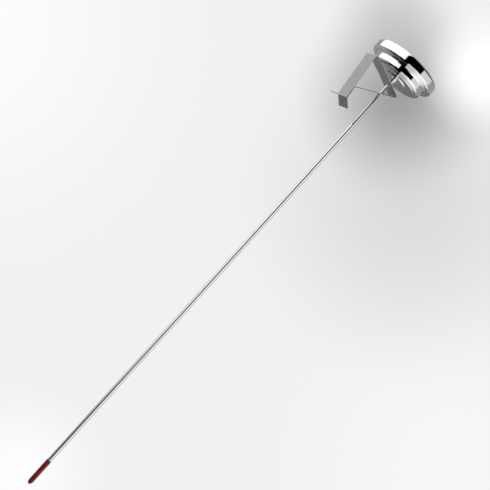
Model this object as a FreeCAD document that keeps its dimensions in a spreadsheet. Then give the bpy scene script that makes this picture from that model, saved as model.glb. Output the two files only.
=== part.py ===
"""Long-stem dial thermometer with a pan clip, as a parametric FreeCAD document.

Millimetres, +Z up. The stem points down, the dial faces up. The origin is where the rim of a pan seats
in the clip, midway between its two gripping leaves. The stem's axis is parallel to Z, stem_x away from it.
Heights in the sheet are measured from the back face of the case, at the foot of its drum wall.
"""
import FreeCAD, Part
import math
import os
import re
import Sketcher
from FreeCAD import Placement, Rotation, Vector

doc = FreeCAD.newDocument("dial_thermometer")

# Driving dimensions: alias, value, what it is
DIMENSIONS = [
    ("stem_x", -23.1, "stem axis from the origin, along X"),
    ("case_back", 27.9, "back face of the case above the origin"),
    # case cup, drawn from one sheet: heights of its outer faces
    ("sheet", 0.6, "wall of the case and the bezel"),
    ("case_bore", 1.9, "hole for the boss"),
    ("hub_radius", 9.9, "inner raised step of the back"),
    ("hub_top", -1.1, "its face"),
    ("plateau_radius", 17.4, "outer raised step of the back"),
    ("plateau_top", -0.5, "its face"),
    ("drum_radius", 21.2, "drum wall"),
    ("drum_height", 5.85, "top of the drum wall"),
    ("step_radius", 23.0, "middle step"),
    ("rim_seat", 7.2, "underside of the rim's flange"),
    ("rim_radius", 25.7, "rim inside the bezel"),
    ("rim_height", 12.0, "top of the rim"),
    ("fine_round", 0.4, "edges of the raised steps"),
    ("drum_round", 2.0, "lower edge of the drum"),
    ("shoulder_round", 0.75, "edge of the middle step"),
    ("rim_round", 0.85, "lower edge of the rim, and the bezel's inside round it"),
    # bezel
    ("bezel_radius", 26.35, "outside of the bezel"),
    ("bezel_back", 6.6, "its rolled back edge"),
    ("bezel_front", 14.4, "its front face"),
    ("bezel_hem", 23.2, "inner edge of the rolled back lip"),
    ("bezel_window", 23.4, "inner edge of the front lip"),
    ("back_round", 1.65, "back edge of the bezel"),
    ("front_round", 2.0, "front edge of the bezel"),
    ("slack", 0.05, "play between pieces that are only laid together"),
    # lens stack
    ("lens_radius", 25.6, "lens"),
    ("lens_edge", 0.45, "height of its edge below the bevel"),
    ("lens_flat", 24.3, "radius of its flat face"),
    ("gasket_height", 0.5, "gasket under the lens"),
    ("ring_inside", 24.2, "inside of the gasket and the spacer"),
    ("spacer_radius", 25.05, "outside of the spacer"),
    ("dial_radius", 25.0, "dial face"),
    ("dial_thick", 0.4, "dial face"),
    ("dial_hole", 1.2, "hole for the staff"),
    # dial fixings
    ("post_offset", 11.6, "posts from the axis, along Y"),
    ("post_radius", 2.0, "post"),
    ("screw_radius", 0.9, "screw shank"),
    ("screw_head", 1.7, "radius of the screw head"),
    ("head_height", 0.7, "screw head"),
    ("screw_depth", 4.0, "shank below the dial"),
    ("slot_width", 0.4, "driver slot"),
    # stem
    ("stem_radius", 1.6, "outside of the tube"),
    ("stem_bore", 1.25, "inside of the tube"),
    ("stem_top", 1.1, "upper end of the tube"),
    ("stem_end", -377.8, "lower end of the tube"),
    ("boss_radius", 2.3, "lip of the boss behind the case"),
    ("boss_end", -2.5, "its lower face"),
    ("boss_lip", 0.3, "height of the lip"),
    ("boss_neck", 2.05, "boss where it meets the case"),
    ("seal_radius", 3.8, "fibre seal inside the case"),
    ("seal_height", 0.3, "fibre seal"),
    ("nut_flats", 7.0, "nut across flats"),
    ("nut_height", 1.3, "nut"),
    ("plug_height", 3.8, "plug inside the tube"),
    ("weld_cap", 0.3, "plug outside the tube"),
    # moving staff and its bearings
    ("staff_radius", 0.4, "pointer staff"),
    ("running_bore", 0.45, "bearing hole, 0.05 clear of the staff"),
    ("bush_depth", 3.4, "upper bush inside the tube"),
    ("bush_flange", 0.4, "upper bush above the tube"),
    ("guide_height", 2.0, "staff guide"),
    ("guide_pitch", 88.0, "from one guide to the next"),
    ("anchor_height", 2.5, "coil anchor"),
    ("coil_length", 27.5, "bimetal helix"),
    ("coil_inside", 0.7, "inner radius of the helix"),
    ("coil_outside", 1.05, "outer radius of the helix"),
    ("coil_pitch", 1.25, "from turn to turn"),
    ("strip_width", 0.7, "bimetal strip along the axis"),
    ("collar_radius", 1.1, "collar on the staff"),
    ("collar_height", 2.5, "collar on the staff"),
    # pointer
    ("hub_foot", 9.7, "underside of the pointer hub"),
    ("pointer_seat", 10.2, "underside of the pointer"),
    ("pointer_thick", 0.3, "pointer"),
    ("hub_head", 10.9, "top of the hub and the staff"),
    ("hub_wide", 1.8, "foot of the hub"),
    ("hub_neck", 1.0, "neck of the hub"),
    ("pointer_reach", 19.5, "tip of the pointer from the axis"),
    ("pointer_point", 0.15, "half width of the tip"),
    ("pointer_tail", 6.5, "tail of the pointer from the axis"),
    ("pointer_eye", 1.9, "half width at the eye"),
    ("pointer_neck", 0.7, "half width where the blade starts"),
    ("tail_half", 1.3, "half width of the tail"),
    ("pointer_rest", 318.0, "direction of the pointer at rest, degrees from +X"),
    ("stop_angle", 338.0, "direction of the stop pin, degrees from +X"),
    ("stop_offset", 15.0, "stop pin from the axis"),
    ("stop_radius", 0.4, "stop pin"),
    ("stop_top", 10.8, "top of the stop pin"),
    # cap over the probe's end
    ("cap_radius", 1.82, "outside of the cap"),
    ("cap_bore", 1.62, "inside of the cap, 0.02 clear of the tube"),
    ("cap_mouth", -360.2, "upper end of the cap"),
    ("cap_floor", -378.2, "inside end of the cap"),
    ("cap_tip", -381.0, "lower end of the cap"),
    ("cap_taper", 2.4, "length of its tapered end"),
    ("cap_nose", 0.95, "radius of its end face"),
    ("nose_round", 0.55, "round of the end face"),
    # pan clip: centre line of the strip, out from the stem axis and up from the case back
    ("clip_thick", 0.5, "sheet of the clip"),
    ("clip_width", 12.7, "strip width"),
    ("clip_bend", 1.0, "centre-line radius of the bends"),
    ("lip_out_x", 28.2, "end of the outward lip"),
    ("lip_out_z", -39.3, "end of the outward lip"),
    ("foot_x", 22.3, "lower end of the outer leaf"),
    ("foot_z", -36.6, "lower end of both leaves"),
    ("fold_x", 27.0, "fold at the top"),
    ("fold_z", -0.4, "fold at the top"),
    ("heel_x", -9.2, "fold behind the stem"),
    ("heel_z", -9.2, "fold behind the stem"),
    ("elbow_z", -27.3, "bend from the lower arm into the inner leaf"),
    ("leaf_gap", 0.65, "from leaf to leaf, centre to centre"),
    ("lip_in_x", 15.4, "end of the inward lip"),
    ("lip_in_z", -41.5, "end of the inward lip"),
    ("arm_bow", 0.7, "bow of the upper arm towards the case"),
    ("bow_radius", 25.0, "bend in the middle of the bowed arm"),
    ("upper_hole", 2.1, "stem hole in the upper arm"),
    ("lower_hole", 2.3, "stem hole in the lower arm"),
    ("punch", 4.0, "reach of the punch through an arm"),
]
ALIASES = {alias for alias, value, note in DIMENSIONS}
DIAL_SEAT = "rim_seat + sheet"
DIAL_TOP = "rim_seat + sheet + dial_thick"

sheet = doc.addObject("Spreadsheet::Sheet", "Dims")
for row, (alias, value, note) in enumerate(DIMENSIONS, start=1):
    sheet.set(f"A{row}", alias)
    sheet.set(f"B{row}", str(value))
    sheet.setAlias(f"B{row}", alias)
    sheet.set(f"C{row}", note)
doc.recompute()


def size(alias):
    """A driving dimension, as a number."""
    return float(getattr(sheet, alias))


def cells(formula):
    """A formula with every alias turned into a reference to its cell."""
    return re.sub(r"[a-z_]+", lambda word: f"Dims.{word[0]}" if word[0] in ALIASES else word[0], formula)


def value_of(formula):
    return float(sheet.evalExpression(cells(formula)))


def bind(thing, target, formula):
    thing.setExpression(target, cells(formula))


def stand(thing, height="0", x="0", y="0"):
    """Stand a sub-part on the stem's axis, or beside it, at a height above the case back."""
    bind(thing, "Placement.Base.x", f"stem_x + {x}")
    bind(thing, "Placement.Base.y", y)
    bind(thing, "Placement.Base.z", f"case_back + {height}")
    return thing


# ---------------------------------------------------------------- ways of making a piece

def new_body(label):
    body = doc.addObject("PartDesign::Body", label)
    body.Label = label
    return body


def new_sketch(body, name, plane):
    sketch = body.newObject("Sketcher::SketchObject", name)
    origin = next(item for item in body.Origin.OriginFeatures if item.Role == plane)
    sketch.AttachmentSupport = [(origin, "")]
    sketch.MapMode = "FlatFace"
    return sketch


def outline(body, points, plane="XZ_Plane"):
    """A closed sketch through points given as pairs of formulas, each bound to the sheet."""
    sketch = new_sketch(body, body.Label + "_outline", plane)
    corners = [Vector(value_of(across), value_of(up), 0) for across, up in points]
    count = len(points)
    for index in range(count):
        sketch.addGeometry(Part.LineSegment(corners[index], corners[(index + 1) % count]), False)
    for index in range(count):
        sketch.addConstraint(Sketcher.Constraint("Coincident", index, 2, (index + 1) % count, 1))
    for index, (across, up) in enumerate(points):
        corner = corners[index]
        for kind, formula, value in (("DistanceX", across, corner.x), ("DistanceY", up, corner.y)):
            number = sketch.addConstraint(Sketcher.Constraint(kind, -1, 1, index, 1, value))
            bind(sketch, f"Constraints[{number}]", formula)
    return sketch


def turned(label, points):
    """A piece turned about the stem's axis from its half section: (radius, height) pairs."""
    body = new_body(label)
    sketch = outline(body, points)
    spin = body.newObject("PartDesign::Revolution", label + "_turned")
    spin.Profile = sketch
    spin.ReferenceAxis = (sketch, ["V_Axis"])
    spin.Angle = 360
    doc.recompute()
    return stand(body)


def turned_ring(label, outside, inside, bottom, top):
    return turned(label, [(inside, bottom), (outside, bottom), (outside, top), (inside, top)])


def round_edges(body, radius, rings):
    """Fillet the circular edges that lie at the given (radius, height) pairs."""
    base = body.Tip
    rings = [(value_of(across), value_of(up)) for across, up in rings]
    names = []
    for number, edge in enumerate(base.Shape.Edges, start=1):
        if isinstance(edge.Curve, Part.Circle):
            here = (edge.Curve.Radius, edge.Curve.Center.z)
            if any(math.dist(here, ring) < 1e-4 for ring in rings):
                names.append(f"Edge{number}")
    fillet = body.newObject("PartDesign::Fillet", body.Label + "_round")
    fillet.Base = (base, names)
    bind(fillet, "Radius", radius)
    body.Tip = fillet
    doc.recompute()


def cylinder(label, radius, bottom, top, x="0", y="0"):
    solid = doc.addObject("Part::Cylinder", label)
    solid.Label = label
    bind(solid, "Radius", radius)
    bind(solid, "Height", f"{top} - ( {bottom} )")
    return stand(solid, bottom, x, y)


def fused(label, pieces):
    group = doc.addObject("Part::MultiFuse", label)
    group.Label = label
    group.Shapes = pieces
    return group


def cut(label, base, tool):
    result = doc.addObject("Part::Cut", label)
    result.Label = label
    result.Base = base
    result.Tool = tool
    return result


def bored(label, outside, inside, bottom, top, x="0", y="0"):
    """A cylinder with a hole through it."""
    blank = cylinder(label + "_blank", outside, bottom, top, x, y)
    hole = cylinder(label + "_hole", inside, bottom, top, x, y)
    return cut(label, blank, hole)


# ---------------------------------------------------------------- head

def make_case_cup():
    """Deep-drawn cup: two raised steps on its back, the drum, the middle step and the rim."""
    outer = [
        ("case_bore", "hub_top"), ("hub_radius", "hub_top"),
        ("hub_radius", "plateau_top"), ("plateau_radius", "plateau_top"),
        ("plateau_radius", "0"), ("drum_radius", "0"),
        ("drum_radius", "drum_height"), ("step_radius", "drum_height"),
        ("step_radius", "rim_seat"), ("rim_radius", "rim_seat"),
    ]
    inner = [
        ("rim_radius", "rim_height"), ("rim_radius - sheet", "rim_height"),
        ("rim_radius - sheet", "rim_seat + sheet"), ("step_radius - sheet", "rim_seat + sheet"),
        ("step_radius - sheet", "drum_height + sheet"), ("drum_radius - sheet", "drum_height + sheet"),
        ("drum_radius - sheet", "sheet"), ("plateau_radius - sheet", "sheet"),
        ("plateau_radius - sheet", "plateau_top + sheet"), ("hub_radius - sheet", "plateau_top + sheet"),
        ("hub_radius - sheet", "hub_top + sheet"), ("case_bore", "hub_top + sheet"),
    ]
    cup = turned("case_cup", outer + inner)
    round_edges(cup, "fine_round", [("hub_radius", "hub_top"), ("plateau_radius", "plateau_top")])
    round_edges(cup, "drum_round", [("drum_radius", "0")])
    round_edges(cup, "drum_round - sheet", [("drum_radius - sheet", "sheet")])
    round_edges(cup, "shoulder_round", [("step_radius", "drum_height")])
    round_edges(cup, "shoulder_round - sheet", [("step_radius - sheet", "drum_height + sheet")])
    round_edges(cup, "rim_round", [("rim_radius", "rim_seat")])
    return cup


def make_bezel_ring():
    """Channel section that clamps the lens, the gasket and the rim of the cup."""
    ring = turned("bezel_ring", [
        ("bezel_hem", "bezel_back"), ("bezel_radius", "bezel_back"),
        ("bezel_radius", "bezel_front"), ("bezel_window", "bezel_front"),
        ("bezel_window", "bezel_front - sheet"), ("rim_radius + slack", "bezel_front - sheet"),
        ("rim_radius + slack", "rim_seat"), ("bezel_hem", "rim_seat"),
    ])
    round_edges(ring, "back_round", [("bezel_radius", "bezel_back")])
    round_edges(ring, "rim_round", [("rim_radius + slack", "rim_seat")])
    round_edges(ring, "front_round", [("bezel_radius", "bezel_front")])
    round_edges(ring, "front_round - sheet", [("rim_radius + slack", "bezel_front - sheet")])
    return ring


def make_lens():
    """Clear disc, bevelled in front to sit in the round of the bezel."""
    bottom, top = "rim_height + gasket_height", "bezel_front - sheet"
    return turned("lens", [
        ("0", bottom), ("lens_radius", bottom), ("lens_radius", f"{bottom} + lens_edge"),
        ("lens_flat", top), ("0", top),
    ])


def stop_pin_place():
    """Where the stop pin stands, from the stem's axis."""
    return "stop_offset * cos(stop_angle * 1deg)", "stop_offset * sin(stop_angle * 1deg)"


def make_dial_face():
    """Dial sheet with holes for the staff, the two screws and the stop pin."""
    holes = [cylinder("dial_staff_hole", "dial_hole", DIAL_SEAT, DIAL_TOP)]
    for y in ("post_offset", "-post_offset"):
        holes.append(cylinder("dial_screw_hole", "screw_radius + slack", DIAL_SEAT, DIAL_TOP, y=y))
    holes.append(cylinder("dial_stop_hole", "stop_radius", DIAL_SEAT, DIAL_TOP, *stop_pin_place()))
    blank = cylinder("dial_blank", "dial_radius", DIAL_SEAT, DIAL_TOP)
    return cut("dial_face", blank, fused("dial_holes", holes))


def make_dial_posts():
    """Two posts from the floor of the cup to the dial, drilled for the screws."""
    posts = []
    for y in ("post_offset", "-post_offset"):
        post = cylinder("post_blank", "post_radius", "plateau_top + sheet", DIAL_SEAT, y=y)
        hole = cylinder("post_hole", "screw_radius", f"{DIAL_SEAT} - screw_depth", DIAL_SEAT, y=y)
        posts.append(cut("post", post, hole))
    return fused("dial_posts", posts)


def make_dial_screws():
    """Two cheese-head screws with a driver slot."""
    screws = []
    for y in ("post_offset", "-post_offset"):
        shank = cylinder("screw_shank", "screw_radius", f"{DIAL_SEAT} - screw_depth", DIAL_TOP, y=y)
        head = cylinder("screw_head_blank", "screw_head", DIAL_TOP, f"{DIAL_TOP} + head_height", y=y)
        slot = doc.addObject("Part::Box", "screw_slot")
        bind(slot, "Length", "2 * screw_head")
        bind(slot, "Width", "slot_width")
        bind(slot, "Height", "head_height / 2")
        stand(slot, f"{DIAL_TOP} + head_height / 2", "0 - screw_head", f"{y} - slot_width / 2")
        screws.append(cut("screw", fused("screw_blank", [shank, head]), slot))
    return fused("dial_screws", screws)


def make_pointer():
    """Flat hand: an eye round the hub, a blade that tapers to its point and a short tail."""
    body = new_body("pointer")
    half = [
        ("pointer_reach", "pointer_point"), ("pointer_eye", "pointer_neck"),
        ("pointer_eye / 2", "pointer_eye"), ("0 - pointer_eye / 2", "pointer_eye"),
        ("0 - pointer_eye", "pointer_neck"), ("0 - pointer_tail", "tail_half"),
    ]
    mirrored = [(along, f"0 - {across}") for along, across in reversed(half)]
    pad = body.newObject("PartDesign::Pad", "pointer_pad")
    pad.Profile = outline(body, half + mirrored, "XY_Plane")
    bind(pad, "Length", "pointer_thick")
    doc.recompute()
    eye = new_sketch(body, "pointer_eye_outline", "XY_Plane")
    eye.addGeometry(Part.Circle(Vector(0, 0, 0), Vector(0, 0, 1), size("hub_neck")), False)
    eye.addConstraint(Sketcher.Constraint("Coincident", 0, 3, -1, 1))
    radius = eye.addConstraint(Sketcher.Constraint("Radius", 0, size("hub_neck")))
    bind(eye, f"Constraints[{radius}]", "hub_neck")
    hole = body.newObject("PartDesign::Pocket", "pointer_hole")
    hole.Profile = eye
    hole.Type = "ThroughAll"
    hole.Midplane = True
    doc.recompute()
    body.Placement.Rotation = Rotation(Vector(0, 0, 1), size("pointer_rest"))
    return stand(body, "pointer_seat")


def make_pointer_hub():
    """Brass hub: a foot, and a neck that carries the pointer."""
    return turned("pointer_hub", [
        ("staff_radius", "hub_foot"), ("hub_wide", "hub_foot"), ("hub_wide", "pointer_seat"),
        ("hub_neck", "pointer_seat"), ("hub_neck", "hub_head"), ("staff_radius", "hub_head"),
    ])


# ---------------------------------------------------------------- stem

def make_stem_boss():
    """Small lipped boss behind the case, with a spigot through the cup for the nut."""
    return turned("stem_boss", [
        ("stem_radius", "boss_end"), ("boss_radius", "boss_end"), ("boss_radius", "boss_end + boss_lip"),
        ("boss_neck", "hub_top"), ("case_bore", "hub_top"), ("case_bore", "stem_top"),
        ("stem_radius", "stem_top"),
    ])


def make_boss_nut():
    """Hexagon nut that holds the boss to the cup."""
    bottom = "hub_top + sheet + seal_height"
    blank = doc.addObject("Part::Prism", "nut_blank")
    blank.Polygon = 6
    bind(blank, "Circumradius", "nut_flats / 2 / cos(30deg)")
    bind(blank, "Height", "nut_height")
    stand(blank, bottom)
    return cut("boss_nut", blank, cylinder("nut_hole", "case_bore", bottom, f"{bottom} + nut_height"))


def make_upper_bush():
    """Flanged bearing in the top of the tube."""
    return turned("upper_bush", [
        ("running_bore", "stem_top - bush_depth"), ("stem_bore", "stem_top - bush_depth"),
        ("stem_bore", "stem_top"), ("stem_radius", "stem_top"),
        ("stem_radius", "stem_top + bush_flange"), ("running_bore", "stem_top + bush_flange"),
    ])


def make_staff_guides():
    """Three bearings along the tube, one pitch apart."""
    guides = []
    for number in (1, 2, 3):
        bottom = f"-{number} * guide_pitch"
        guides.append(bored("staff_guide", "stem_bore", "running_bore", bottom, f"{bottom} + guide_height"))
    return fused("staff_guides", guides)


def make_bimetal_coil():
    """Helix of bimetal strip between the anchor and the collar on the staff."""
    body = new_body("bimetal_coil")
    sketch = outline(body, [
        ("coil_inside", "0"), ("coil_outside", "0"),
        ("coil_outside", "strip_width"), ("coil_inside", "strip_width"),
    ])
    helix = body.newObject("PartDesign::AdditiveHelix", "coil_helix")
    helix.Profile = sketch
    helix.ReferenceAxis = (sketch, ["V_Axis"])
    helix.Mode = 0
    bind(helix, "Pitch", "coil_pitch")
    bind(helix, "Height", "coil_length - strip_width")
    doc.recompute()
    return stand(body, "stem_end + plug_height + anchor_height")


def make_stem_plug():
    """Plug in the tube's end, with a thin cap where it is welded."""
    return turned("stem_plug", [
        ("0", "stem_end - weld_cap"), ("stem_radius", "stem_end - weld_cap"), ("stem_radius", "stem_end"),
        ("stem_bore", "stem_end"), ("stem_bore", "stem_end + plug_height"), ("0", "stem_end + plug_height"),
    ])


def make_tip_cap():
    """Close-fitting sleeve over the probe's end, tapered to a small round nose."""
    cap = turned("tip_cap", [
        ("0", "cap_tip"), ("cap_nose", "cap_tip"), ("cap_radius", "cap_tip + cap_taper"),
        ("cap_radius", "cap_mouth"), ("cap_bore", "cap_mouth"), ("cap_bore", "cap_floor"), ("0", "cap_floor"),
    ])
    round_edges(cap, "nose_round", [("cap_nose", "cap_tip")])
    return cap


# ---------------------------------------------------------------- clip

def bent_path(corners, radii):
    """A wire of straight runs through the corners, joined by tangent arcs of the given radii."""
    edges = []
    start = corners[0]
    for before, corner, after, radius in zip(corners, corners[1:], corners[2:], radii):
        into = (corner - before).normalize()
        out = (after - corner).normalize()
        half_turn = into.getAngle(out) / 2
        reach = radius * math.tan(half_turn)
        middle = corner + (out - into).normalize() * (radius / math.cos(half_turn) - radius)
        edges.append(Part.makeLine(start, corner - into * reach))
        start = corner + out * reach
        edges.append(Part.Arc(corner - into * reach, middle, start).toShape())
    edges.append(Part.makeLine(start, corners[-1]))
    return Part.Wire(edges)


def punched(strip, end, other_end, radius):
    """The strip with a round hole square through the arm between two corners, where the stem crosses."""
    along = other_end - end
    crossing = end + along * (-end.x / along.x)
    normal = Vector(-along.z, 0, along.x).normalize()
    return strip.cut(Part.makeCylinder(radius, size("punch"), crossing - normal * (size("punch") / 2), normal))


def make_pan_clip():
    """One folded strip: lip, outer leaf, upper arm, lower arm, inner leaf, lip.

    The two arms are pierced for the stem. The two leaves lie side by side and grip the pan's wall.
    """
    def point(name):
        return Vector(size(name + "_x"), 0, size(name + "_z"))

    foot, fold, heel = point("foot"), point("fold"), point("heel")
    lean = (fold.x - foot.x) / (fold.z - foot.z)
    inner_foot = foot - Vector(size("leaf_gap"), 0, 0)
    rise = size("elbow_z") - foot.z
    elbow = inner_foot + Vector(rise * lean, 0, rise)
    arm = heel - fold
    bow = Vector(arm.z, 0, -arm.x).normalize() * size("arm_bow")
    crown = (fold + heel) / 2 + bow
    corners = [point("lip_out"), foot, fold, crown, heel, elbow, inner_foot, point("lip_in")]
    bend = size("clip_bend")
    radii = [bend, bend, size("bow_radius"), bend, bend, bend]

    along = (corners[1] - corners[0]).normalize()
    square = Vector(-along.z, 0, along.x) * (size("clip_thick") / 2)
    across = Vector(0, size("clip_width") / 2, 0)
    start = corners[0]
    section = Part.makePolygon([
        start + square + across, start + square - across, start - square - across,
        start - square + across, start + square + across,
    ])
    strip = bent_path(corners, radii).makePipeShell([section], True, False)
    strip = punched(strip, crown, heel, size("upper_hole"))
    strip = punched(strip, heel, elbow, size("lower_hole"))

    clip = doc.addObject("Part::Feature", "pan_clip")
    clip.Label = "pan_clip"
    clip.Shape = strip
    clip.Placement = Placement(Vector(size("stem_x"), 0, size("case_back")), Rotation())
    return clip


# ---------------------------------------------------------------- the assembly

COIL_TOP = "stem_end + plug_height + anchor_height + coil_length"
NODES = [
    make_bezel_ring(),
    make_lens(),
    turned_ring("lens_gasket", "rim_radius", "ring_inside", "rim_height", "rim_height + gasket_height"),
    turned_ring("dial_spacer", "spacer_radius", "ring_inside", DIAL_TOP, "rim_height"),
    make_dial_face(),
    make_dial_posts(),
    make_dial_screws(),
    cylinder("stop_pin", "stop_radius", DIAL_SEAT, "stop_top", *stop_pin_place()),
    make_case_cup(),
    make_stem_boss(),
    turned_ring("stem_seal", "seal_radius", "case_bore", "hub_top + sheet", "hub_top + sheet + seal_height"),
    make_boss_nut(),
    turned_ring("stem_tube", "stem_radius", "stem_bore", "stem_end", "stem_top"),
    make_stem_plug(),
    cylinder("coil_anchor", "stem_bore", "stem_end + plug_height", "stem_end + plug_height + anchor_height"),
    make_bimetal_coil(),
    turned_ring("coil_collar", "collar_radius", "staff_radius", COIL_TOP, f"{COIL_TOP} + collar_height"),
    cylinder("pointer_staff", "staff_radius", COIL_TOP, "hub_head"),
    make_staff_guides(),
    make_upper_bush(),
    make_pointer_hub(),
    make_pointer(),
    make_tip_cap(),
    make_pan_clip(),
]

doc.recompute()
for item in doc.Objects:
    if "Invalid" in item.State or "Error" in item.State:
        raise RuntimeError(f"{item.Label} failed to recompute: {item.State}")
os.makedirs("parts", exist_ok=True)
for node in NODES:
    if node.Shape.isNull() or not node.Shape.isValid():
        raise RuntimeError(f"{node.Label} has no valid shape")
    node.Shape.exportStep(f"parts/{node.Label}.step")
    print(f"{node.Label}: {len(node.Shape.Solids)} solid(s), {node.Shape.Volume:.2f} mm3")
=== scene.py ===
"""A long-stem dial thermometer in its pan clip: finer surfaces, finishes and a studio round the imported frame.

Lengths in the tables are millimetres: radii from the stem's axis, heights from the back face of the case.
"""
import math

import bmesh
import bpy
from mathutils import Matrix, Vector


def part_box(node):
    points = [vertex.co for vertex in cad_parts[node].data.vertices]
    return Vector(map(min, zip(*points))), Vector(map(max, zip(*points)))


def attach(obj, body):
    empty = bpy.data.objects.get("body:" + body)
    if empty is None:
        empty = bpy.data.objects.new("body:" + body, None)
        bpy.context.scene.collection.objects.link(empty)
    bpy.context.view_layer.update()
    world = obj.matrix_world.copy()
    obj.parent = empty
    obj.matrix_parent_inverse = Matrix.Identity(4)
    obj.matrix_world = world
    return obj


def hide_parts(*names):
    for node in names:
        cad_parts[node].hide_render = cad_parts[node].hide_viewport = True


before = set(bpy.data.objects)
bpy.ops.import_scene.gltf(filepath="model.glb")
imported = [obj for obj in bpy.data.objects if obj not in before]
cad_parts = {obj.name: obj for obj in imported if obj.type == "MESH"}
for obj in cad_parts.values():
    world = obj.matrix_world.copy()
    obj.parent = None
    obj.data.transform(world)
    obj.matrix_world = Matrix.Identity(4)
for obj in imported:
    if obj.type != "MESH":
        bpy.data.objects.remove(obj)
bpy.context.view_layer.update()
MM = 0.001
HUB_RISE = 1.1

cup_low, cup_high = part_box("case_cup")
AXIS_X = (cup_low.x + cup_high.x) / 2 / MM
CASE_BACK = cup_low.z / MM + HUB_RISE
ON_AXIS = Matrix.Translation((AXIS_X, 0, CASE_BACK))
TO_FRAME = Matrix.Scale(MM, 4) @ ON_AXIS


# ---------------------------------------------------------------- meshes

STRAIGHT = 1e-4
ON_CENTRE = 1e-6
SAME_POINT = 1e-7
WELD = 1e-5


def turn_left(vector):
    return Vector((-vector.y, vector.x))


def turn_between(into, out):
    """The signed angle from one direction to the next."""
    return math.atan2(into.x * out.y - into.y * out.x, into.dot(out))


def rounded(corners, step=7.5):
    """(point, normal) pairs round a closed outline of (across, up, radius) corners, counter-clockwise."""
    points = [Vector((across, up)) for across, up, radius in corners]
    count = len(points)
    area = sum(points[i - 1].x * points[i].y - points[i].x * points[i - 1].y for i in range(count))
    if area < 0:
        corners = list(reversed(corners))
        points.reverse()
    result = []
    for index, (across, up, radius) in enumerate(corners):
        into = (points[index] - points[index - 1]).normalized()
        out = (points[(index + 1) % count] - points[index]).normalized()
        turn = turn_between(into, out)
        first = -turn_left(into)
        if radius == 0 or abs(turn) < STRAIGHT:
            result.append((points[index], first))
            result.append((points[index], -turn_left(out)))
            continue
        side = math.copysign(1, turn)
        start = points[index] - into * radius * math.tan(abs(turn) / 2)
        centre = start - first * radius * side
        steps = max(3, math.ceil(abs(math.degrees(turn)) / step))
        for part in range(steps + 1):
            normal = Matrix.Rotation(turn * part / steps, 2) @ first
            result.append((centre + normal * radius * side, normal))
    return result


def written(build, name):
    """A mesh from a finished bmesh."""
    mesh = bpy.data.meshes.new(name)
    build.to_mesh(mesh)
    build.free()
    return mesh


def linked(name, data):
    """A new object in the scene."""
    item = bpy.data.objects.new(name, data)
    bpy.context.scene.collection.objects.link(item)
    return item


def smooth(mesh):
    for face in mesh.polygons:
        face.use_smooth = True


def mesh_piece(name, mesh, material, body, stands_for=()):
    """A finished mesh as a piece of the object."""
    piece = linked(name, mesh)
    mesh.materials.append(material)
    smooth(mesh)
    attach(piece, body)
    if stands_for:
        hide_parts(*stands_for)


def turned_points(outline, segments):
    """Vertices, their normals, and the ring of vertices that each point of the outline makes."""
    vertices = []
    normals = []
    rings = []
    for point, normal in outline:
        if point.x < ON_CENTRE:
            rings.append([len(vertices)])
            vertices.append((0, 0, point.y))
            normals.append((0, 0, math.copysign(1, normal.y)))
            continue
        rings.append(list(range(len(vertices), len(vertices) + segments)))
        for index in range(segments):
            angle = 2 * math.pi * index / segments
            along = (math.cos(angle), math.sin(angle))
            vertices.append((point.x * along[0], point.x * along[1], point.y))
            normals.append((normal.x * along[0], normal.x * along[1], normal.y))
    return vertices, normals, rings


def turned_faces(outline, rings, segments):
    """Faces between each ring and the next, with fans where the outline meets the axis."""
    faces = []
    for index, ring in enumerate(rings):
        following = (index + 1) % len(rings)
        after = rings[following]
        if len(ring) == 1 and len(after) == 1:
            continue
        if (outline[following][0] - outline[index][0]).length < SAME_POINT:
            continue
        for here in range(segments):
            there = (here + 1) % segments
            if len(ring) == 1:
                faces.append((ring[0], after[there], after[here]))
            elif len(after) == 1:
                faces.append((ring[here], ring[there], after[0]))
            else:
                faces.append((ring[here], ring[there], after[there], after[here]))
    return faces


def lathe(name, corners, segments):
    """A closed outline turned about the stem's axis, with exact normals."""
    outline = rounded(corners)
    vertices, normals, rings = turned_points(outline, segments)
    faces = turned_faces(outline, rings, segments)
    mesh = bpy.data.meshes.new(name)
    mesh.from_pydata([(ON_AXIS @ Vector(v)) * MM for v in vertices], [], faces)
    mesh.validate()
    smooth(mesh)
    mesh.normals_split_custom_set_from_vertices(normals)
    return mesh


def box_mesh(name, parts):
    """One mesh from boxes given as (centre, size, angle about Z)."""
    build = bmesh.new()
    for centre, size, angle in parts:
        place = Matrix.Translation(centre) @ Matrix.Rotation(angle, 4, "Z") @ Matrix.Diagonal((*size, 1))
        bmesh.ops.create_cube(build, size=1, matrix=place)
    return written(build, name)


def skin(build, rings):
    """Sides between four-cornered rings, and a face on each end."""
    for ring, after in zip(rings, rings[1:]):
        for index in range(4):
            build.faces.new((ring[index], after[index], after[(index + 1) % 4], ring[(index + 1) % 4]))
    build.faces.new(rings[0])
    build.faces.new(tuple(reversed(rings[-1])))
    bmesh.ops.recalc_face_normals(build, faces=build.faces)


def finished(source, name):
    """The mesh of an object with its modifiers applied, and the object removed."""
    graph = bpy.context.evaluated_depsgraph_get()
    mesh = bpy.data.meshes.new_from_object(source.evaluated_get(graph), depsgraph=graph)
    mesh.name = name
    bpy.data.objects.remove(source)
    return mesh


# ---------------------------------------------------------------- materials

def linear(tone):
    """A display tone from 0 to 255 as scene light."""
    share = tone / 255
    return share / 12.92 if share <= 0.04045 else ((share + 0.055) / 1.055) ** 2.4


def colour(*tones):
    tones = tones * 3 if len(tones) == 1 else tones
    return (*[linear(tone) for tone in tones], 1)


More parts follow.
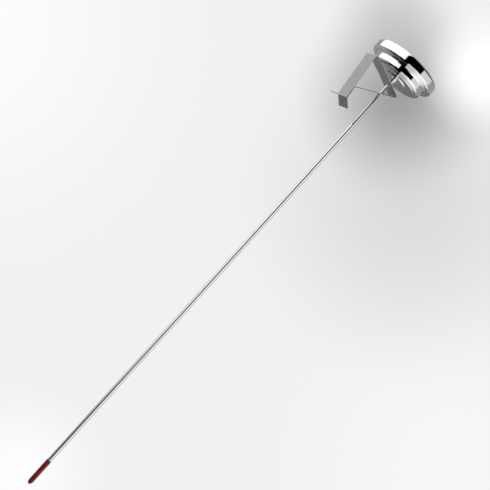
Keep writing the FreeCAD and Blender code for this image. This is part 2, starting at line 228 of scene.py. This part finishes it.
class Nodes:
    """The node tree of a material or a world, emptied, and short ways to fill it."""

    def __init__(self, owner):
        owner.use_nodes = True
        self.tree = owner.node_tree
        self.tree.nodes.clear()

    def add(self, kind, **settings):
        node = self.tree.nodes.new(kind)
        for setting, value in settings.items():
            setattr(node, setting, value)
        return node

    def feed(self, socket, value):
        """A link where the value is another node's output, or else a constant."""
        if isinstance(value, bpy.types.NodeSocket):
            self.tree.links.new(value, socket)
        else:
            socket.default_value = value

    def math(self, operation, *values):
        node = self.add("ShaderNodeMath", operation=operation)
        for socket, value in zip(node.inputs, values):
            self.feed(socket, value)
        return node.outputs[0]


class Finish(Nodes):
    """A material with one Principled shader and short ways to drive it."""

    def __init__(self, name, **sockets):
        self.material = bpy.data.materials.new(name)
        super().__init__(self.material)
        self.output = self.add("ShaderNodeOutputMaterial")
        self.shader = self.add("ShaderNodeBsdfPrincipled")
        self.feed(self.output.inputs[0], self.shader.outputs[0])
        self.place = self.add("ShaderNodeTexCoord").outputs["Object"]
        for socket, value in sockets.items():
            self.shader.inputs[socket.replace("_", " ")].default_value = value

    def stretched(self, scale, shift=(0, 0, 0)):
        """The place on the piece, stretched along each axis."""
        mapping = self.add("ShaderNodeMapping")
        mapping.inputs["Scale"].default_value = scale
        mapping.inputs["Location"].default_value = shift
        self.feed(mapping.inputs["Vector"], self.place)
        return mapping.outputs[0]

    def turned(self, radial, around, along):
        """The place as (radius, angle, height) about the stem's axis, each scaled."""
        parts = self.add("ShaderNodeSeparateXYZ")
        self.feed(parts.inputs[0], self.stretched((1, 1, 1), (-AXIS_X * MM, 0, 0)))
        x, y, z = parts.outputs
        radius = self.math("SQRT", self.math("ADD", self.math("MULTIPLY", x, x), self.math("MULTIPLY", y, y)))
        angle = self.math("ARCTAN2", y, x)
        place = self.add("ShaderNodeCombineXYZ")
        for socket, value, scale in zip(place.inputs, (radius, angle, z), (radial, around, along)):
            self.feed(socket, self.math("MULTIPLY", value, scale))
        return place.outputs[0]

    def noise(self, vector, detail, rough=0.5):
        node = self.add("ShaderNodeTexNoise")
        node.inputs["Scale"].default_value = 1
        node.inputs["Detail"].default_value = detail
        node.inputs["Roughness"].default_value = rough
        self.feed(node.inputs["Vector"], vector)
        return node.outputs["Fac"]

    def spread(self, source, low, high, start=0.3, end=0.7):
        """A texture's value spread from low to high."""
        node = self.add("ShaderNodeMapRange")
        for socket, value in zip(("From Min", "From Max", "To Min", "To Max"), (start, end, low, high)):
            node.inputs[socket].default_value = value
        self.feed(node.inputs["Value"], source)
        return node.outputs["Result"]

    def mixed(self, share, first, second):
        """A colour between two colours."""
        node = self.add("ShaderNodeMix", data_type="RGBA")
        self.feed(node.inputs["Factor"], share)
        self.feed(node.inputs[6], first)
        self.feed(node.inputs[7], second)
        return node.outputs[2]

    def drive(self, socket, source):
        self.feed(self.shader.inputs[socket], source)

    def tint(self, source, light, dark):
        """The base colour, from light to dark by a texture."""
        self.drive("Base Color", self.mixed(self.spread(source, 0, 1), light, dark))

    def bump(self, *layers):
        """Bumps from (height, distance in mm, strength), one on another."""
        below = None
        for height, distance, strength in layers:
            node = self.add("ShaderNodeBump")
            node.inputs["Strength"].default_value = strength
            node.inputs["Distance"].default_value = distance * MM
            self.feed(node.inputs["Height"], height)
            if below is not None:
                self.feed(node.inputs["Normal"], below)
            below = node.outputs[0]
        self.drive("Normal", below)


def chrome_finish():
    """Polished chrome on pressed brass: faint lathe marks, a few wiped smears."""
    finish = Finish("chrome_head", Metallic=1.0)
    rings = finish.noise(finish.turned(9000, 0.6, 9000), 2)
    smears = finish.noise(finish.stretched((90, 90, 90)), 4, 0.6)
    specks = finish.noise(finish.stretched((900, 900, 900)), 2)
    finish.drive("Roughness", finish.spread(smears, 0.004, 0.012))
    finish.tint(smears, colour(246), colour(241))
    finish.bump((rings, 0.0003, 0.08), (specks, 0.0003, 0.04))
    return finish.material


def stem_finish():
    """Centreless-ground stainless tube: fine marks round it."""
    finish = Finish("stem_steel", Metallic=1.0)
    rings = finish.noise(finish.turned(0, 0.8, 14000), 2)
    bands = finish.noise(finish.turned(0, 0.3, 160), 3)
    finish.drive("Roughness", finish.spread(bands, 0.012, 0.03))
    finish.drive("Base Color", finish.mixed(bands, colour(236, 236, 238), colour(226, 226, 229)))
    finish.bump((rings, 0.0004, 0.12))
    return finish.material


def clip_finish():
    """Cold-rolled stainless strip: a satin grain, a mottled sheen and light scratches."""
    finish = Finish("clip_steel", Metallic=1.0)
    grain = finish.noise(finish.stretched((40, 5200, 40)), 4, 0.65)
    mottle = finish.noise(finish.stretched((260, 260, 260)), 4, 0.6)
    scratches = finish.noise(finish.stretched((900, 60, 500), (3, 1, 7)), 5, 0.7)
    finish.drive("Roughness", finish.spread(mottle, 0.6, 0.66))
    finish.tint(grain, colour(206, 206, 207), colour(200, 200, 201))
    finish.bump((grain, 0.002, 0.16), (scratches, 0.0015, 0.1))
    return finish.material


def cap_finish():
    """Dipped vinyl: dark red, slightly uneven, a soft shine."""
    finish = Finish("tip_red", IOR=1.42, Coat_Weight=0.2, Coat_Roughness=0.08)
    waves = finish.noise(finish.stretched((420, 420, 160)), 3)
    pores = finish.noise(finish.stretched((5200, 5200, 5200)), 2)
    finish.tint(waves, colour(138, 1, 6), colour(118, 1, 4))
    finish.drive("Roughness", finish.spread(pores, 0.18, 0.26))
    finish.bump((waves, 0.03, 0.2), (pores, 0.004, 0.2))
    return finish.material


def enamel_finish(name, light, dark, roughness):
    """Baked paint with a trace of orange peel."""
    finish = Finish(name, IOR=1.5, Coat_Weight=0.2, Coat_Roughness=0.1)
    peel = finish.noise(finish.stretched((2600, 2600, 2600)), 2)
    cloud = finish.noise(finish.stretched((70, 70, 70)), 3)
    finish.tint(cloud, light, dark)
    finish.drive("Roughness", finish.spread(peel, roughness - 0.05, roughness + 0.05))
    finish.bump((peel, 0.004, 0.2))
    return finish.material


def metal_finish(name, light, dark, roughness):
    """Machined metal with tool marks and a slight tarnish."""
    finish = Finish(name, Metallic=1.0)
    cuts = finish.noise(finish.stretched((7000, 7000, 1750)), 2)
    tarnish = finish.noise(finish.stretched((500, 500, 500)), 4, 0.6)
    finish.tint(tarnish, light, dark)
    finish.drive("Roughness", finish.spread(tarnish, roughness - 0.06, roughness + 0.08))
    finish.bump((cuts, 0.003, 0.3))
    return finish.material


def soft_finish(name, light, dark, roughness, grain):
    """Rubber or fibre: matt, with a fine grain."""
    finish = Finish(name, IOR=1.45)
    fibres = finish.noise(finish.stretched((grain, grain, grain * 0.4)), 4, 0.65)
    finish.tint(fibres, light, dark)
    finish.drive("Roughness", finish.spread(fibres, roughness - 0.06, roughness + 0.06))
    finish.bump((fibres, 0.02, 0.4))
    return finish.material


def bimetal_finish():
    """Two bonded strips, straw and grey, in turns up the coil."""
    finish = Finish("bimetal", Metallic=1.0)
    layers = finish.noise(finish.turned(5200, 0.1, 60), 1)
    finish.tint(layers, colour(205, 178, 128), colour(168, 168, 166))
    finish.drive("Roughness", finish.spread(layers, 0.26, 0.36))
    finish.bump((layers, 0.003, 0.2))
    return finish.material


def glass_finish():
    """Clear lens that lets light through to the dial."""
    finish = Finish("lens_glass", IOR=1.5, Transmission_Weight=1.0)
    finish.shader.inputs["Base Color"].default_value = (0.985, 0.995, 0.99, 1)
    wipes = finish.noise(finish.stretched((60, 160, 60)), 4)
    finish.drive("Roughness", finish.spread(wipes, 0.0, 0.02))
    clear = finish.add("ShaderNodeBsdfTransparent")
    clear.inputs[0].default_value = (0.95, 0.97, 0.96, 1)
    rays = finish.add("ShaderNodeLightPath")
    mix = finish.add("ShaderNodeMixShader")
    finish.feed(mix.inputs[0], rays.outputs["Is Shadow Ray"])
    finish.feed(mix.inputs[1], finish.shader.outputs[0])
    finish.feed(mix.inputs[2], clear.outputs[0])
    finish.feed(finish.output.inputs[0], mix.outputs[0])
    return finish.material


FINISHES = {
    "chrome_head": chrome_finish(),
    "stem_steel": stem_finish(),
    "clip_steel": clip_finish(),
    "tip_red": cap_finish(),
    "lens_glass": glass_finish(),
    "bimetal": bimetal_finish(),
    "dial_white": enamel_finish("dial_white", colour(240, 240, 236), colour(232, 232, 227), 0.34),
    "pointer_black": enamel_finish("pointer_black", colour(28, 28, 30), colour(20, 20, 22), 0.36),
    "gasket_rubber": soft_finish("gasket_rubber", colour(40, 40, 42), colour(26, 26, 28), 0.75, 2600),
    "seal_fibre": soft_finish("seal_fibre", colour(150, 70, 52), colour(112, 48, 36), 0.82, 3800),
    "brass": metal_finish("brass", colour(222, 186, 112), colour(196, 158, 88), 0.26),
    "inner_steel": metal_finish("inner_steel", colour(206, 207, 210), colour(178, 179, 183), 0.24),
}
PRINT_BLACK = enamel_finish("print_black", colour(24, 24, 26), colour(34, 34, 36), 0.5)
PRINT_RED = enamel_finish("print_red", colour(176, 26, 24), colour(158, 20, 20), 0.5)


def dress_nodes():
    """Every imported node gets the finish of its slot."""
    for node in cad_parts.values():
        for place in node.material_slots:
            slot = place.material.name.split(".")[0] if place.material else None
            if slot in FINISHES:
                place.material = FINISHES[slot]


# ---------------------------------------------------------------- turned pieces

def turned_piece(name, corners, segments, body, node, slot):
    """A shell of (radius, height, bend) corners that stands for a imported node."""
    mesh_piece(name, lathe(name, corners, segments), FINISHES[slot], body, [node])


def build_head():
    """Case cup and bezel, pressed from sheet: every corner has its own bend. The boss is turned."""
    cup = [
        (1.9, -1.1, 0.05), (9.9, -1.1, 0.4), (9.9, -0.5, 0.12), (17.4, -0.5, 0.4), (17.4, 0, 0.12),
        (21.2, 0, 2.0), (21.2, 5.4, 4.0), (21.3, 5.87, 0.25), (23.0, 6.15, 0.75), (23.0, 7.2, 0.1),
        (25.7, 7.2, 0.85), (25.7, 12.0, 0.05), (25.1, 12.0, 0.05), (25.1, 7.8, 0.2), (22.4, 7.8, 0.2),
        (22.4, 6.65, 0.2), (20.6, 6.4, 0.3), (20.6, 0.6, 1.4), (16.8, 0.6, 0.2), (16.8, 0.1, 0.1),
        (9.3, 0.1, 0.2), (9.3, -0.5, 0.1), (1.9, -0.5, 0.05),
    ]
    bezel = [
        (23.2, 6.6, 0.25), (26.35, 6.6, 1.65), (26.35, 14.4, 2.0), (23.4, 14.4, 0.25), (23.4, 13.8, 0.05),
        (25.75, 13.8, 1.4), (25.75, 7.2, 0.85), (23.2, 7.2, 0.1),
    ]
    boss = [
        (1.6, -2.5, 0.02), (2.3, -2.5, 0.12), (2.3, -2.2, 0.08), (2.05, -1.1, 0.03), (1.9, -1.1, 0.03),
        (1.9, 1.1, 0.03), (1.6, 1.1, 0.02),
    ]
    turned_piece("case_cup_fine", cup, 256, "thermometer", "case_cup", "chrome_head")
    turned_piece("bezel_fine", bezel, 256, "thermometer", "bezel_ring", "chrome_head")
    turned_piece("boss_fine", boss, 96, "thermometer", "stem_boss", "chrome_head")


def build_stem():
    """The tube, and the soft cap over its end."""
    tube = [(1.25, -377.8, 0.05), (1.6, -377.8, 0.1), (1.6, 1.1, 0.05), (1.25, 1.1, 0.05)]
    cap = [
        (0, -381.0, 0), (0.95, -381.0, 0.5), (1.6, -379.6, 1.6), (1.82, -378.4, 3.0), (1.82, -360.2, 0.08),
        (1.62, -360.2, 0.05), (1.62, -378.2, 0.2), (0, -378.2, 0),
    ]
    turned_piece("stem_fine", tube, 96, "thermometer", "stem_tube", "stem_steel")
    turned_piece("cap_fine", cap, 96, "tip", "tip_cap", "tip_red")


def build_lens():
    """A flat lens with a bevelled rim."""
    lens = [(0, 12.5, 0), (25.55, 12.5, 0.15), (25.55, 12.93, 0.15), (24.25, 13.78, 0.3), (0, 13.78, 0)]
    turned_piece("lens_fine", lens, 192, "thermometer", "lens", "lens_glass")


def build_hub():
    """The brass hub that holds the pointer."""
    hub = [
        (0, 9.72, 0), (1.8, 9.72, 0.08), (1.8, 10.2, 0.1), (1.25, 10.2, 0.05), (1.25, 10.5, 0.05),
        (1.25, 10.88, 0.3), (0, 10.88, 0),
    ]
    turned_piece("hub_fine", hub, 96, "movement", "pointer_hub", "brass")


# ---------------------------------------------------------------- clip

CLIP_THICK = 0.5
CLIP_WIDTH = 12.7
CLIP_BEND = 1.0
CROWN_BEND = 25.0
CROWN_BOW = 0.7
FOOT_GAP = 0.65
ELBOW_RISE = 9.3
UPPER_HOLE = 2.1
LOWER_HOLE = 2.3
PUNCH_DEPTH = 4.0
EDGE_EASE = 0.09
LIP_OUT = Vector((28.2, -39.3))
FOOT = Vector((22.3, -36.6))
FOLD = Vector((27.0, -0.4))
HEEL = Vector((-9.2, -9.2))
INNER_FOOT = FOOT - Vector((FOOT_GAP, 0))
ELBOW = INNER_FOOT + Vector((ELBOW_RISE * (FOLD.x - FOOT.x) / (FOLD.y - FOOT.y), ELBOW_RISE))
LIP_IN = Vector((15.4, -41.5))
CROWN = (FOLD + HEEL) / 2 - turn_left((HEEL - FOLD).normalized()) * CROWN_BOW


def bent_line(corners, radii, step=6.0):
    """(point, direction) pairs along straight runs joined by arcs."""
    line = [(corners[0], (corners[1] - corners[0]).normalized())]
    for before, corner, after, radius in zip(corners, corners[1:], corners[2:], radii):
        into = (corner - before).normalized()
        turn = turn_between(into, (after - corner).normalized())
        start = corner - into * radius * math.tan(abs(turn) / 2)
        side = math.copysign(1, turn)
        centre = start + turn_left(into) * radius * side
        steps = max(2, math.ceil(abs(math.degrees(turn)) / step))
        for part in range(steps + 1):
            spin = Matrix.Rotation(turn * part / steps, 2)
            line.append((centre + spin @ (start - centre), spin @ into))
    line.append((corners[-1], line[-1][1]))
    return line


def clip_blank():
    """The strip folded along its middle line, before it is pierced."""
    corners = [LIP_OUT, FOOT, FOLD, CROWN, HEEL, ELBOW, INNER_FOOT, LIP_IN]
    radii = [CLIP_BEND, CLIP_BEND, CROWN_BEND, CLIP_BEND, CLIP_BEND, CLIP_BEND]
    build = bmesh.new()
    rings = []
    for point, along in bent_line(corners, radii):
        half = turn_left(along) * CLIP_THICK / 2
        ring = []
        for side, across in ((half, 0.5), (half, -0.5), (-half, -0.5), (-half, 0.5)):
            spot = point + side
            ring.append(build.verts.new((spot.x, CLIP_WIDTH * across, spot.y)))
        rings.append(ring)
    skin(build, rings)
    bmesh.ops.transform(build, matrix=TO_FRAME, verts=build.verts)
    return linked("clip_blank", written(build, "clip_blank"))


def clip_punch(start, end, radius):
    """A round punch through an arm of the strip, where the stem crosses it."""
    along = end - start
    cross = start + along * (-start.x / along.x)
    normal = turn_left(along.normalized())
    lean = Vector((normal.x, 0, normal.y)).to_track_quat("Z", "Y").to_matrix().to_4x4()
    spot = Matrix.Translation((cross.x + AXIS_X, 0, cross.y + CASE_BACK))
    build = bmesh.new()
    bmesh.ops.create_cone(build, cap_ends=True, segments=96, radius1=radius, radius2=radius,
                          depth=PUNCH_DEPTH, matrix=Matrix.Scale(MM, 4) @ spot @ lean)
    return linked("punch", written(build, "punch"))


def build_clip():
    """One folded strip, pierced twice for the stem, its edges and holes eased."""
    strip = clip_blank()
    punches = [clip_punch(CROWN, HEEL, UPPER_HOLE), clip_punch(HEEL, ELBOW, LOWER_HOLE)]
    for punch in punches:
        hole = strip.modifiers.new("hole", "BOOLEAN")
        hole.object = punch
        hole.operation = "DIFFERENCE"
        hole.solver = "EXACT"
    smooth(strip.data)
    eased = strip.modifiers.new("eased", "BEVEL")
    eased.width = EDGE_EASE * MM
    eased.segments = 3
    eased.limit_method = "ANGLE"
    eased.angle_limit = math.radians(50)
    eased.harden_normals = True
    bpy.context.view_layer.update()
    fine = finished(strip, "clip_fine")
    for punch in punches:
        bpy.data.objects.remove(punch)
    fine.materials.clear()
    mesh_piece("clip_fine", fine, FINISHES["clip_steel"], "clip", ["pan_clip"])


# ---------------------------------------------------------------- dial

DIAL_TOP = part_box("dial_face")[1].z / MM - CASE_BACK
INK = 0.03
REST_DIRECTION = 318.0
ROOM = 70
DEGREES_PER_MARK = 0.58
SCALE_START = 50
SCALE_END = 550
MARK = 10
NUMBERED = 50
SCALE_RADIUS = 21.6
SCALE_LINE = 0.18
LONG_MARK = (2.9, 0.42)
SHORT_MARK = (1.7, 0.2)
NUMBER_RADIUS = 15.9
NUMBER_HEIGHT = 2.7
FRYING = (300, 400)
FRYING_BAND = (SCALE_RADIUS + 0.5, SCALE_RADIUS + 1.1)


def scale_direction(mark):
    """Where the pointer points at a mark, as an angle from +X."""
    return math.radians(REST_DIRECTION - (mark - ROOM) * DEGREES_PER_MARK)


def arc_mesh(name, radii, marks, steps):
    """A band of ink round the dial, between two radii and two marks of the scale."""
    inner, outer = radii
    end, start = (scale_direction(mark) for mark in marks)
    bottom, top = DIAL_TOP, DIAL_TOP + INK
    build = bmesh.new()
    rings = []
    for index in range(steps + 1):
        angle = start + (end - start) * index / steps
        x, y = math.cos(angle), math.sin(angle)
        ring = [(inner, bottom), (outer, bottom), (outer, top), (inner, top)]
        rings.append([build.verts.new((r * x, r * y, z)) for r, z in ring])
    skin(build, rings)
    return written(build, name)


def numeral_mesh(text):
    """A number in ink, lying flat about its own middle."""
    curve = bpy.data.curves.new("numeral", "FONT")
    curve.body = text
    curve.size = NUMBER_HEIGHT
    curve.align_x = "CENTER"
    curve.align_y = "CENTER"
    curve.extrude = INK / 2
    curve.resolution_u = 6
    source = linked("numeral", curve)
    bpy.context.view_layer.update()
    mesh = finished(source, "numeral")
    bpy.data.curves.remove(curve)
    return mesh


def joined(name, parts):
    """One mesh from (mesh, matrix) pairs, moved onto the dial."""
    build = bmesh.new()
    for mesh, matrix in parts:
        mesh.transform(matrix)
        build.from_mesh(mesh)
        bpy.data.meshes.remove(mesh)
    bmesh.ops.remove_doubles(build, verts=build.verts, dist=WELD)
    bmesh.ops.transform(build, matrix=TO_FRAME, verts=build.verts)
    return written(build, name)


def build_dial():
    """Printed scale: a mark every ten degrees, a longer one and a number every fifty."""
    middle = DIAL_TOP + INK / 2
    flat = Matrix.Identity(4)
    marks = []
    for mark in range(SCALE_START, SCALE_END + 1, MARK):
        angle = scale_direction(mark)
        length, width = SHORT_MARK if mark % NUMBERED else LONG_MARK
        reach = SCALE_RADIUS - length / 2
        spot = (reach * math.cos(angle), reach * math.sin(angle), middle)
        marks.append((spot, (length, width, INK), angle))
    line = (SCALE_RADIUS, SCALE_RADIUS + SCALE_LINE)
    black = [(box_mesh("marks", marks), flat)]
    black.append((arc_mesh("rim", line, (SCALE_START, SCALE_END), 240), flat))
    upright = Matrix.Rotation(math.radians(90), 4, "Z")
    for number in range(SCALE_START, SCALE_END + 1, NUMBERED):
        angle = scale_direction(number)
        spot = (NUMBER_RADIUS * math.cos(angle), NUMBER_RADIUS * math.sin(angle), middle)
        black.append((numeral_mesh(str(number)), Matrix.Translation(spot) @ upright))
    mesh_piece("dial_print", joined("dial_print", black), PRINT_BLACK, "thermometer")
    red = [(arc_mesh("hot", FRYING_BAND, FRYING, 80), flat)]
    mesh_piece("dial_zone", joined("dial_zone", red), PRINT_RED, "thermometer")


# ---------------------------------------------------------------- studio

STUDIO_TONE = 154
PANELS = [
    # azimuths and soft edge, elevations and soft edge, tone
    ((-118, 62, 14), (-110, -51, 18), 15),
    ((-50, 62, 26), (-110, -35, 26), 0),
    ((-150, -119.5, 3), (-20, 13, 6), 112),
    ((-8, 62, 40), (-110, -7, 6), 35),
    ((22, 62, 20), (-110, -6, 8), 15),
    ((-118, 46, 6), (29, 77, 6), 280),
    ((-68, 46, 8), (13, 77, 6), 280),
    ((-66, 24, 6), (5.5, 20, 4), 280),
    ((-48, 28, 10), (-2, 20, 8), 270),
    ((28, 62, 14), (-10, 14, 4), 50),
    ((150, 242, 16), (46, 95, 16), 85),
    ((112, 182, 8), (20, 95, 6), 105),
    ((108, 150, 12), (27, 95, 8), 75),
    ((-180, 180, 0), (77, 95, 5), 50),
    ((60, 182, 10), (-110, -17, 6), 218),
    ((60, 158, 10), (-18, 16, 4), 225),
    ((92, 148, 14), (-8, 12, 5), 275),
    ((106, 156, 20), (-60, -16, 6), 262),
    ((50, 84, 28), (-7, 24, 14), 20),
    ((107, 163, 8), (13, 20, 4), 215),
    ((46, 112, 2), (13.6, 95, 2), 0),
    ((46, 118, 2), (30, 95, 4), 0),
    ((180, 222, 8), (-66, -34, 8), 270),
    ((44, 61, 6), (-80, 20, 4), 0),
]
BACKDROP_TONE = 241
# Painted shade and painted light on the backdrop that the camera sees: darker patches about the head, lighter
# patches round them.
BACKDROP_PAINTED_LIGHT_AND_SHADE = [
    # azimuth, elevation, radius, tone
    (-105, 4, 12, 253),
    (-133, 4, 9, 247),
    (-119.5, -8, 4, 254),
    (-124.1, 11.3, 8.5, 220),
    (-118.3, 16.5, 3.2, 212),
    (-120.8, 14.1, 4.7, 162),
    (-122.8, 17.2, 3.0, 262),
]


class Sky(Nodes):
    """The studio's surround, drawn by direction: a backdrop with patches of painted shade and painted light
    about the head, and panels that light and are mirrored.
    """

    def __init__(self):
        world = bpy.data.worlds.new("studio")
        bpy.context.scene.world = world
        super().__init__(world)
        self.output = self.add("ShaderNodeOutputWorld")
        self.direction = self.add("ShaderNodeTexCoord").outputs["Generated"]

    def smooth(self, value, start, end):
        """0 at start, 1 at end."""
        node = self.add("ShaderNodeMapRange", interpolation_type="SMOOTHSTEP")
        self.feed(node.inputs["Value"], value)
        node.inputs["From Min"].default_value = start
        node.inputs["From Max"].default_value = end
        return node.outputs["Result"]

    def blend(self, share, first, second):
        node = self.add("ShaderNodeMix", data_type="FLOAT")
        self.feed(node.inputs["Factor"], share)
        self.feed(node.inputs[2], first)
        self.feed(node.inputs[3], second)
        return node.outputs[0]

    def light(self, strength):
        """White light of a given strength."""
        node = self.add("ShaderNodeBackground")
        node.inputs["Color"].default_value = (1, 1, 1, 1)
        self.feed(node.inputs["Strength"], strength)
        return node.outputs[0]

    def glow(self, azimuth, elevation, radius):
        """1 in one direction, fading to 0 at radius degrees from it."""
        away = self.add("ShaderNodeVectorMath", operation="DISTANCE")
        self.feed(away.inputs[0], self.direction)
        flat = math.cos(math.radians(elevation))
        away.inputs[1].default_value = (
            flat * math.cos(math.radians(azimuth)),
            flat * math.sin(math.radians(azimuth)),
            math.sin(math.radians(elevation)),
        )
        return self.smooth(away.outputs["Value"], 2 * math.sin(math.radians(radius / 2)), 0)

    def panel(self, azimuth, elevation):
        """1 inside a panel. Each argument is two limits and the width of their soft edges, in degrees."""
        parts = self.add("ShaderNodeSeparateXYZ")
        self.feed(parts.inputs[0], self.direction)
        x, y, z = parts.outputs
        middle = math.radians((azimuth[0] + azimuth[1]) / 2)
        half = math.radians((azimuth[1] - azimuth[0]) / 2)
        ahead = self.math("ADD", self.math("MULTIPLY", x, math.cos(middle)),
                          self.math("MULTIPLY", y, math.sin(middle)))
        aside = self.math("SUBTRACT", self.math("MULTIPLY", y, math.cos(middle)),
                          self.math("MULTIPLY", x, math.sin(middle)))
        off = self.math("ABSOLUTE", self.math("ARCTAN2", aside, ahead))
        soft = math.radians(azimuth[2]) / 2
        inside = self.smooth(off, half + soft, half - soft)
        height = self.math("ARCSINE", z)
        low, high, soft = (math.radians(angle) for angle in elevation)
        over = self.smooth(height, low - soft / 2, low + soft / 2)
        under = self.smooth(height, high + soft / 2, high - soft / 2)
        return self.math("MULTIPLY", inside, self.math("MULTIPLY", over, under))


def build_sky():
    """The camera sees the backdrop with its painted shade and painted light. Everything else sees the panels.
    """
    sky = Sky()
    studio = linear(STUDIO_TONE)
    for azimuth, elevation, tone in PANELS:
        studio = sky.blend(sky.panel(azimuth, elevation), studio, linear(tone))
    backdrop = linear(BACKDROP_TONE)
    # Painted shade and painted light: darker and lighter patches laid over the even backdrop tone.
    for azimuth, elevation, radius, tone in BACKDROP_PAINTED_LIGHT_AND_SHADE:
        backdrop = sky.blend(sky.glow(azimuth, elevation, radius), backdrop, linear(tone))
    rays = sky.add("ShaderNodeLightPath")
    mix = sky.add("ShaderNodeMixShader")
    sky.feed(mix.inputs[0], rays.outputs["Is Camera Ray"])
    sky.feed(mix.inputs[1], sky.light(studio))
    sky.feed(mix.inputs[2], sky.light(backdrop))
    sky.feed(sky.output.inputs[0], mix.outputs[0])


# Places and distances from here on are in metres.
FLOOR_RADIUS = 5.0
FLOOR_HEIGHT = -1.2
FLOOR_FADE = (1.5, 4.9)


def build_floor():
    """A pale floor well under the hanging thermometer, fading out into the backdrop."""
    build = bmesh.new()
    bmesh.ops.create_circle(build, cap_ends=True, segments=128, radius=FLOOR_RADIUS)
    mesh = written(build, "floor")
    floor = linked("floor", mesh)
    floor.location = (0, 0, FLOOR_HEIGHT)
    finish = Finish("floor_paint", Roughness=0.9)
    tint = finish.noise(finish.stretched((2, 2, 2)), 3)
    finish.drive("Base Color", finish.mixed(tint, colour(236), colour(232)))
    away = finish.add("ShaderNodeVectorMath", operation="LENGTH")
    finish.feed(away.inputs[0], finish.place)
    finish.drive("Alpha", finish.spread(away.outputs["Value"], 1, 0, *FLOOR_FADE))
    mesh.materials.append(finish.material)
    floor.visible_glossy = False


LAMP_TARGET = Vector((0, 0, -0.1))
LAMPS = [
    # name, place, size, power in watts
    ("key", (0.9, -0.6, 1.4), 1.2, 9.0),
    ("fill", (-1.2, 0.9, 0.6), 1.4, 5.0),
]


def build_lamps():
    """Two soft lamps that the chrome doesn't mirror."""
    for name, place, size, power in LAMPS:
        lamp = bpy.data.lights.new(name, "AREA")
        lamp.size = size
        lamp.energy = power
        light = linked(name, lamp)
        light.location = place
        light.rotation_euler = (LAMP_TARGET - Vector(place)).to_track_quat("-Z", "Y").to_euler()
        light.visible_glossy = False


CAMERA_TARGET = Vector((-0.02374, -0.00024, -0.13157))
CAMERA_AZIMUTH = 59.84
CAMERA_ELEVATION = -5.27
CAMERA_ROLL = 42.13
CAMERA_DISTANCE = 0.9536
CAMERA_LENS = 100.0
CAMERA_SENSOR = 36.0


def build_camera():
    """A little below the clip's side of the head, and rolled so that the stem hangs across the frame."""
    azimuth, elevation, roll = (math.radians(a) for a in (CAMERA_AZIMUTH, CAMERA_ELEVATION, CAMERA_ROLL))
    flat = math.cos(elevation)
    back = Vector((flat * math.cos(azimuth), flat * math.sin(azimuth), math.sin(elevation)))
    level = Vector((0, 0, 1)).cross(back).normalized()
    upward = back.cross(level)
    right = level * math.cos(roll) + upward * math.sin(roll)
    up = back.cross(right)
    data = bpy.data.cameras.new("camera")
    data.lens = CAMERA_LENS
    data.sensor_width = CAMERA_SENSOR
    data.clip_start = 0.01
    data.clip_end = 50.0
    camera = linked("camera", data)
    turn = Matrix((right, up, back)).transposed().to_4x4()
    camera.matrix_world = Matrix.Translation(CAMERA_TARGET + back * CAMERA_DISTANCE) @ turn
    bpy.context.scene.camera = camera


dress_nodes()
build_head()
build_stem()
build_clip()
build_lens()
build_dial()
build_hub()
build_sky()
build_floor()
build_lamps()
build_camera()
bpy.context.scene.view_settings.view_transform = "Standard"
